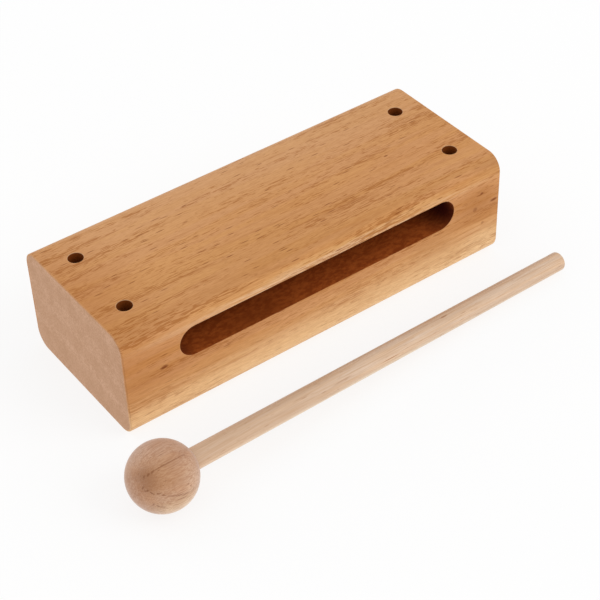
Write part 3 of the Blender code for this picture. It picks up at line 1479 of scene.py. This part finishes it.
    def _traits(self, points: Array, normals: Array) -> dict[Place, Array]:
        """Mark the sawn ends, the milled and bored walls, and the arrises.

        End grain follows how squarely a face looks along X, and fades towards the end's outline.
        A milled wall is marked by its depth from the face it was cut from, within the slot's or a
        hole's outline. An arris is the rim of an opening, or an end's upper or lower edge, and an
        end's front and back edges are marked on their own. An end's edge is strongest where its
        rounding is half turned.

        Args:
            points: the vertices.
            normals: their normals.

        Returns:
            How strongly each trait marks each vertex, 0 to 1.
        """
        x, y, z = points.T
        past_line = np.maximum(np.abs(x) - self.slot_reach, 0)
        in_slot = np.hypot(past_line, z - self.slot_middle) < self.slot_radius + 2 * self.slot_rim
        in_slot &= y < self.slot_depth - self.half_width + self.slot_rim
        slot_depth = np.where(in_slot, y + self.half_width, 0)
        from_hole = np.hypot(np.abs(x) - self.hole_x, np.abs(y) - self.hole_y)
        in_hole = from_hole < self.hole_diameter / 2 + 2 * self.hole_rim
        hole_depth = np.where(in_hole & ~in_slot, np.minimum(z, self.height - z), 0)
        milled = smooth_step(slot_depth, self.slot_rim / 4, self.slot_rim)
        bored = smooth_step(hole_depth, self.hole_rim / 4, self.hole_rim)
        facing = np.abs(normals[:, 0])
        outside = 1 - np.maximum(milled, bored)
        beside = np.maximum(np.abs(y) - (self.half_width - self.edge_radius), 0)
        above = np.maximum(np.abs(z - self.height / 2) - (self.height / 2 - self.edge_radius), 0)
        sideways = beside / np.maximum(beside + above, Skin.SEAM)
        inset = self.edge_radius - np.hypot(beside, above)
        margin = self.end_margin * (self.end_margin_above + (1 - self.end_margin_above) * sideways)
        end = smooth_step(facing, *self.end_facing) * outside * np.clip(inset / margin, 0, 1)
        turned = facing * outside
        end_edge = 4 * turned * turned * (1 - turned * turned)
        hole_lip = smooth_step(hole_depth, 0, self.hole_rim / 4) * (1 - bored)
        slot_lip = smooth_step(slot_depth, 0, self.slot_rim / 4) * (1 - milled)
        # Only the slot's upper lip is painted pale, as wear and a painted highlight.
        slot_lip *= smooth_step(z - self.slot_middle, 0, self.slot_radius) * self.slot_lip_wear_and_highlight
        end_lip = end_edge * (1 - sideways) * self.end_wear
        return {
            Place.END_GRAIN: end,
            Place.CUT: milled,
            Place.BORE: bored,
            Place.ARRIS: np.maximum.reduce([hole_lip, slot_lip, end_lip]),
            Place.END_EDGE: end_edge * sideways,
        }

    def build(self) -> bpy.types.Object:
        """Sew the bar's surface and finish it.

        Returns:
            The block.
        """
        skin = Skin()
        self._lay_sides(skin)
        for sign in (-1, 1):
            self._lay_end(skin, sign)
        self._lay_slot(skin)
        self._lay_holes(skin)
        finish = self.finish.material("oiled_bar_hardwood")
        piece = finish_piece("block_of_hardwood", skin, self._traits, finish)
        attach(piece, "block")
        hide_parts("resonator_block")
        return piece


@dataclass(frozen=True)
class Beater:
    """The beater: a tapered dowel glued into a turned ball, lying in front of the block.

    Attributes:
        block_end: where the block's left end is, along X.
        block_front: where the block's front is, along Y.
        head_diameter: the ball's diameter.
        stick_length: the dowel's length.
        stick_radius_at_head: the dowel's radius in the ball.
        stick_radius_at_butt: its radius at the far end.
        butt_rounding: how far its butt is rounded over.
        socket_depth: how deep the ball is bored.
        socket_lip: how far the bore's lip is rounded over.
        glue_gap: the room round the dowel in the bore.
        glue_under: the room under the dowel's end in the bore.
        past_block_end: how far the ball's centre lies past the block's end.
        to_block_front: from the block's front to the ball's skin.
        turn: how far the beater is turned from the block's length.
        end_facing: how squarely end grain looks along the dowel: where it starts, where it is full.
    """

    STICK_SIDES = 64
    STICK_CELLS = 80
    BUTT_CELLS = 6
    HEAD_SIDES = 128
    HEAD_CELLS = 96
    LIP_CELLS = 3
    BORE_CELLS = 11
    FACE_CELLS = 5

    block_end: float
    block_front: float
    head_diameter: float = 0.0270
    stick_length: float = 0.2000
    stick_radius_at_head: float = 0.0043
    stick_radius_at_butt: float = 0.0040
    butt_rounding: float = 0.0010
    socket_depth: float = 0.0132
    socket_lip: float = 0.0003
    glue_gap: float = 0.0001
    glue_under: float = 0.0003
    past_block_end: float = 0.0076
    to_block_front: float = 0.0206
    turn: float = math.radians(2.67)
    end_facing: Pair = (0.72, 1.0)

    @property
    def head_radius(self) -> float:
        """The ball's radius."""
        return self.head_diameter / 2

    @property
    def stick_start(self) -> float:
        """Where the dowel starts on the beater's axis, from the ball's centre."""
        return self.head_radius - self.socket_depth + self.glue_under

    def place(self) -> Matrix:
        """Find the beater's place: its origin at the ball's centre, its X axis along the dowel.

        The ball stands on the floor and the dowel leans until its butt touches too. With A from
        the ball's centre to the butt's rounding and r the butt's radius, the lean t solves
        A sin t + r cos t = R.

        Returns:
            The place.
        """
        reach = self.stick_start + self.stick_length - self.butt_rounding
        butt = self.stick_radius_at_butt
        lean = math.asin(self.head_radius / math.hypot(reach, butt)) - math.atan2(butt, reach)
        centre = (
            self.block_end - self.past_block_end,
            self.block_front - self.to_block_front - self.head_radius,
            self.head_radius,
        )
        turned = Matrix.Rotation(self.turn, 4, "Z") @ Matrix.Rotation(lean, 4, "Y")
        return Matrix.Translation(centre) @ turned

    def _traits(self, points: Array, normals: Array) -> dict[Place, Array]:
        """Mark end grain by how squarely the surface looks along the dowel."""
        facing = np.abs(normals @ np.array(self.place())[:3, 0])
        return {Place.END_GRAIN: smooth_step(facing, *self.end_facing)}

    def _turn_piece(
        self, name: str, profile: Sequence[Array], sides: int, material: bpy.types.Material
    ) -> bpy.types.Object:
        """Turn a profile about the dowel's axis: P(u, v) = (x(u), r(u) cos v, r(u) sin v).

        Args:
            name: the piece's name.
            profile: runs of (x, r) points, one after another.
            sides: how many cells there are once round.
            material: the finish.

        Returns:
            The piece, where the beater lies.
        """
        runs = np.concatenate(profile)
        along, radii = runs[:, :1], runs[:, 1:]
        angles = np.linspace(0, math.tau, sides + 1) - QUARTER
        axis = np.broadcast_to(along, (len(runs), len(angles)))
        spots = np.stack([axis, radii * np.cos(angles), radii * np.sin(angles)], -1)
        place = np.array(self.place())
        skin = Skin()
        skin.lay(spots @ place[:3, :3].T + place[:3, 3])
        return finish_piece(name, skin, self._traits, material)

    def build_stick(self, material: bpy.types.Material) -> bpy.types.Object:
        """Turn the dowel: a flat inner end, a straight taper and a butt rounded over.

        Args:
            material: the finish.

        Returns:
            The dowel.
        """
        start, thick = self.stick_start, self.stick_radius_at_head
        end, thin = self.stick_start + self.stick_length, self.stick_radius_at_butt
        rounding = self.butt_rounding
        along, inward = quarter_turn(self.BUTT_CELLS)
        shoulder = end - rounding
        profile = [
            np.linspace((start, 0.0), (start, thick), self.FACE_CELLS + 1)[:-1],
            np.linspace((start, thick), (shoulder, thin), self.STICK_CELLS + 1),
            np.column_stack([shoulder + rounding * along, thin - rounding * inward])[1:],
            np.linspace((end, thin - rounding), (end, 0.0), self.FACE_CELLS + 1)[1:],
        ]
        piece = self._turn_piece("beater_dowel", profile, self.STICK_SIDES, material)
        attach(piece, "beater")
        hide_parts("beater_stick")
        return piece

    def build_head(self, material: bpy.types.Material) -> bpy.types.Object:
        """Turn the ball, from the pole away from the dowel to the bore's lip and its floor.

        Args:
            material: the finish.

        Returns:
            The ball.
        """
        radius, lip = self.head_radius, self.socket_lip
        bore = self.stick_radius_at_head + self.glue_gap
        opening = math.asin((bore + lip) / radius)
        polar = np.linspace(math.pi, opening, self.HEAD_CELLS + 1)
        mouth = radius * math.cos(opening)
        floor = radius - self.socket_depth
        along, inward = quarter_turn(self.LIP_CELLS)
        profile = [
            radius * np.column_stack([np.cos(polar), np.sin(polar)]),
            np.column_stack([mouth - lip * inward, bore + lip * (1 - along)])[1:],
            np.linspace((mouth - lip, bore), (floor, bore), self.BORE_CELLS + 1)[1:],
            np.linspace((floor, bore), (floor, 0.0), self.FACE_CELLS + 1)[1:],
        ]
        piece = self._turn_piece("beater_ball", profile, self.HEAD_SIDES, material)
        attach(piece, "beater")
        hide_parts("beater_head")
        return piece


DOWEL_WOOD = PaleWood(
    light=screen(218, 192, 169),
    blush=screen(221, 187, 155),
    dark=screen(190, 152, 118),
    mark=screen(146, 86, 40),
    end=screen(186, 150, 120),
    grain=Grain(
        drift=1.0,
        drift_bend=(90.0, 36.0),
        pith=(30.0, -40.0),
        ring=2.2,
        patch=(36.0, 1.6),
        streak=(30.0, 0.7),
        dash=(12.0, 0.4),
        fibre=(11.0, 0.22),
        vessels=Vessels(gap=0.7, reach=9.0, bore=0.2, share=0.15),
        fine_vessels=Vessels(gap=0.5, reach=5.0, bore=0.25, share=0.4),
    ),
    figure=0.58,
    pores=(0.6, 0.36),
    fuzz=0.3,
    flecks=(
        Fleck((135.0, -0.5, 4.2), (2.6, 0.45, 0.8), 0.8),
        Fleck((105.0, -3.9, 1.3), (7.0, 0.5, 0.2), 0.9),
        Fleck((81.0, -3.2, 2.6), (7.0, 0.4, 0.15), 0.6),
        Fleck((62.0, -2.0, 3.6), (6.0, 0.15, 0.6), 0.5),
        Fleck((163.0, -3.2, 2.2), (6.0, 0.5, 0.15), 0.5),
    ),
    tints=(
        Tint((40.0, -2.0, 2.0), (100.0, 7.0, 7.0), screen(220, 196, 174), 0.25),
        # Painted bounce light: the dowel's lower front side is painted paler along its length.
        Tint((100.0, -3.4, -2.4), (150.0, 3.6, 3.6), screen(230, 210, 182), 0.8),
        Tint((142.0, -1.5, 3.4), (34.0, 3.2, 3.2), screen(192, 154, 118), 0.25),
    ),
)
BALL_WOOD = PaleWood(
    light=screen(196, 157, 130),
    blush=screen(196, 150, 116),
    dark=screen(158, 106, 68),
    mark=screen(118, 66, 28),
    end=screen(190, 148, 120),
    grain=Grain(
        drift=1.6,
        drift_bend=(26.0, 10.4),
        pith=(-32.0, -29.0),
        ring=4.5,
        patch=(18.0, 5.0),
        streak=(10.0, 0.6),
        dash=(5.0, 0.4),
        fibre=(5.0, 0.4),
        vessels=Vessels(gap=0.9, reach=5.0, bore=0.26, share=0.25),
        fine_vessels=Vessels(gap=0.6, reach=3.5, bore=0.28, share=0.4),
    ),
    figure=0.4,
    pores=(0.45, 0.27),
    fuzz=0.5,
    flecks=(
        Fleck((-1.6, -5.9, 11.8), (10.4, 0.34, 7.0), 0.62, 39.6),
        Fleck((-9.8, -3.5, 8.6), (1.2, 0.5, 0.9), 0.6),
        Fleck((-8.6, -4.4, 9.4), (1.4, 0.5, 0.9), 0.75),
        Fleck((-7.2, -4.9, 10.3), (1.4, 0.5, 0.9), 0.7),
        Fleck((5.4, -5.4, 11.1), (2.2, 0.4, 0.9), 0.5),
        Fleck((-11.4, -4.9, 5.2), (1.6, 0.4, 1.0), 0.7, 20.0),
        Fleck((-10.9, -6.4, 4.6), (1.6, 1.3, 0.4), 0.8, -30.0),
        Fleck((-9.9, -8.1, 4.2), (1.3, 1.3, 0.35), 0.8, 25.0),
        Fleck((-8.3, -9.8, 4.2), (1.8, 0.9, 0.35), 0.8, -20.0),
        Fleck((-6.9, -11.0, 3.6), (1.8, 0.9, 0.35), 0.7, 10.0),
        Fleck((-10.1, -8.9, -0.6), (1.4, 0.4, 1.2), 0.7, 30.0),
        Fleck((-8.9, -10.1, -1.4), (1.2, 0.4, 1.1), 0.7, -40.0),
        Fleck((-7.6, -11.1, -1.8), (1.3, 0.9, 0.4), 0.7, 20.0),
        Fleck((-8.0, -9.8, -4.6), (1.4, 1.0, 0.4), 0.6, 20.0),
        Fleck((-5.2, -12.3, 3.0), (2.0, 0.9, 0.28), 0.7),
        Fleck((-3.6, -12.8, 2.6), (2.2, 0.9, 0.28), 0.7),
        Fleck((-1.8, -13.2, 2.2), (2.6, 0.6, 0.26), 0.9),
        Fleck((0.8, -13.3, 1.5), (2.6, 0.6, 0.26), 0.8),
        Fleck((-1.2, -13.4, 0.3), (3.0, 0.6, 0.26), 0.9),
        Fleck((1.8, -13.3, -0.8), (3.0, 0.6, 0.24), 0.7),
        Fleck((3.6, -12.9, 0.9), (2.8, 0.6, 0.24), 0.7),
        Fleck((-5.0, 1.4, 12.3), (3.4, 0.2, 0.6), 0.5),
        Fleck((-3.0, 3.0, 12.8), (3.0, 0.2, 0.6), 0.5),
        Fleck((-9.0, 3.4, 9.4), (2.6, 0.2, 0.8), 0.4),
        Fleck((2.4, -12.4, 4.4), (0.5, 0.6, 0.3), 0.8),
        Fleck((3.4, -12.6, 3.2), (0.5, 0.6, 0.4), 0.7),
        Fleck((-4.6, -9.4, 8.2), (2.2, 0.5, 0.2), 0.5),
        Fleck((-6.0, -1.0, 12.1), (2.6, 0.2, 0.5), 0.4),
    ),
    tints=(
        # Painted light: the ball's front towards the dowel is painted paler, as if lit from the
        # right.
        Tint((6.0, -11.0, 6.0), (9.0, 9.0, 9.0), screen(212, 178, 150), 0.6),
        # Painted bounce light: the ball's lower front is painted paler, as if lit from the floor.
        Tint((0.0, -12.5, -5.5), (18.0, 11.0, 10.0), screen(228, 196, 158), 0.8),
        # Painted shade: darker in the middle of the ball's side that faces the camera, against its
        # paler rim.
        Tint((-5.6, -8.0, 8.2), (12.0, 10.0, 10.0), screen(191, 145, 107), 0.8),
        Tint((-9.8, -4.8, 7.6), (7.0, 7.5, 6.5), screen(142, 94, 62), 0.6),
        Tint((-5.0, 6.0, 11.0), (14.0, 9.0, 9.0), screen(208, 172, 148), 0.7),
    ),
)


@dataclass(frozen=True)
class Camera:
    """The viewpoint above the block's left front corner.

    Attributes:
        position: where the camera stands.
        forward: the way it looks.
        roll: how far its picture is turned, anticlockwise, in radians.
        focal_pixels: its focal length in pixels of the picture.
        picture: the picture's width and height in pixels.
        sensor: the sensor's width in millimetres.
        near_limit: how near a thing may be and still show.
    """

    position: Triple = (-0.29094, -0.43347, 0.44765)
    forward: Triple = (0.43435, 0.61919, -0.65417)
    roll: float = math.radians(-2.094)
    focal_pixels: float = 1675.9
    picture: int = 600
    sensor: float = 36.0
    near_limit: float = 0.01

    def build(self) -> bpy.types.Object:
        """Set up the camera and make it the scene's own.

        Returns:
            The camera.
        """
        lens = bpy.data.cameras.new("studio_camera")
        lens.sensor_width = self.sensor
        lens.lens = self.focal_pixels * self.sensor / self.picture
        lens.clip_start = self.near_limit
        camera = add_object("studio_camera", lens)
        camera.matrix_world = aimed(self.position, self.forward, self.roll)
        bpy.context.scene.camera = camera
        return camera


@dataclass(frozen=True)
class Lamp:
    """A soft square lamp that faces the object.

    Attributes:
        name: what it is called.
        power: its power in watts.
        size: its width.
        place: where it hangs.
    """

    name: str
    power: float
    size: float
    place: Triple

    def build(self) -> bpy.types.Object:
        """Hang the lamp and turn it to the object.

        Returns:
            The lamp.
        """
        light = bpy.data.lights.new(self.name, "AREA")
        light.energy = self.power
        light.size = self.size
        lamp = add_object(self.name, light)
        lamp.matrix_world = aimed(self.place, -Vector(self.place))
        return lamp


@dataclass(frozen=True)
class Studio:
    """A pale floor in an even white surround, with soft lamps.

    Attributes:
        surround: how strongly the surround lights the object.
        floor_tone: the floor's own colour.
        floor_glow: how much of the floor's picture is plain white, the rest being lit and shadowed.
        floor_clears: how far from the middle it starts to clear to plain white, and where it has.
        floor_bounce: how much of the light that the floor gives the object is even.
        bounce_level: how strong that even light is.
        floor_size: the floor's width.
        lamps: the lamps.
    """

    surround: float = 0.80
    floor_tone: Colour = (0.97, 0.97, 0.97)
    floor_glow: float = 0.8
    floor_clears: Pair = (0.4, 1.2)
    floor_bounce: float = 0.92
    bounce_level: float = 1.15
    floor_size: float = 8.0
    lamps: tuple[Lamp, ...] = (
        Lamp("front_lamp", 18.0, 1.6, (1.3, -1.7, 1.7)),
        Lamp("back_lamp", 8.0, 1.8, (-0.8, 2.0, 1.5)),
    )

    def _seen(self, graph: Graph) -> Wire:
        """Tell whether a ray comes from the camera, a mirror-like surface or a clear one.

        Args:
            graph: the graph of the floor or the surround.

        Returns:
            1 if it does, and 0 if not.
        """
        path = graph.node("ShaderNodeLightPath")
        camera, glossy = graph.wire(path, "Is Camera Ray"), graph.wire(path, "Is Glossy Ray")
        return camera.most(glossy).most(graph.wire(path, "Is Transmission Ray"))

    def _floor_material(self) -> bpy.types.Material:
        """Make the floor pale to light, and nearly white but still shadowed to the eye.

        Returns:
            The material.
        """
        graph = Graph(bpy.data.materials.new("pale_floor"))
        matt = graph.node("ShaderNodeBsdfDiffuse", None, {"Color": (*self.floor_tone, 1.0)})
        cleared = graph.place().length().step(*self.floor_clears)
        glow = self.floor_glow + cleared * (1.0 - self.floor_glow)
        even = graph.node("ShaderNodeEmission", None, {"Strength": self.bounce_level})
        white = graph.node("ShaderNodeEmission", None, {"Strength": 1.0})
        lighting = graph.mixed_shader(self.floor_bounce, matt, even)
        shown = graph.mixed_shader(glow, matt, white)
        mixed = graph.mixed_shader(self._seen(graph), lighting, shown)
        graph.node("ShaderNodeOutputMaterial", None, {"Surface": graph.wire(mixed)})
        return graph.owner

    def _build_floor(self) -> bpy.types.Object:
        """Lay the floor.

        Returns:
            The floor.
        """
        half = self.floor_size / 2
        spots = [(-half, -half, 0), (half, -half, 0), (half, half, 0), (-half, half, 0)]
        mesh = bpy.data.meshes.new("floor")
        mesh.from_pydata(spots, [], [(0, 1, 2, 3)])
        mesh.materials.append(self._floor_material())
        floor = add_object("floor", mesh)
        return floor

    def _build_surround(self) -> None:
        """Light the scene evenly from all round, and show white behind it."""
        world = bpy.data.worlds.new("white_surround")
        bpy.context.scene.world = world
        graph = Graph(world)
        lighting, shown = (
            graph.node("ShaderNodeBackground", None, {"Color": WHITE, "Strength": level})
            for level in (self.surround, 1.0)
        )
        mixed = graph.mixed_shader(self._seen(graph), lighting, shown)
        graph.node("ShaderNodeOutputWorld", None, {"Surface": graph.wire(mixed)})

    def build(self) -> None:
        """Set up the surround, the floor and the lamps."""
        self._build_surround()
        self._build_floor()
        for lamp in self.lamps:
            lamp.build()
        bpy.context.scene.view_settings.view_transform = "Standard"


def main() -> None:
    """Dress the block and its beater, and set up the studio."""
    logging.basicConfig(level=logging.INFO, format="%(name)s: %(message)s")
    low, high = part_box("resonator_block")
    block = ResonatorBlock(half_length=high.x, half_width=high.y, height=high.z)
    beater = Beater(block_end=low.x, block_front=low.y)
    place = beater.place()
    pieces = [
        block.build(),
        beater.build_stick(DOWEL_WOOD.material("pale_dowel_wood", place)),
        beater.build_head(BALL_WOOD.material("turned_ball_wood", place)),
    ]
    for piece in pieces:
        LOG.info("%s: %d faces", piece.name, len(piece.data.polygons))
    Studio().build()
    Camera().build()


if __name__ == "__main__":
    main()
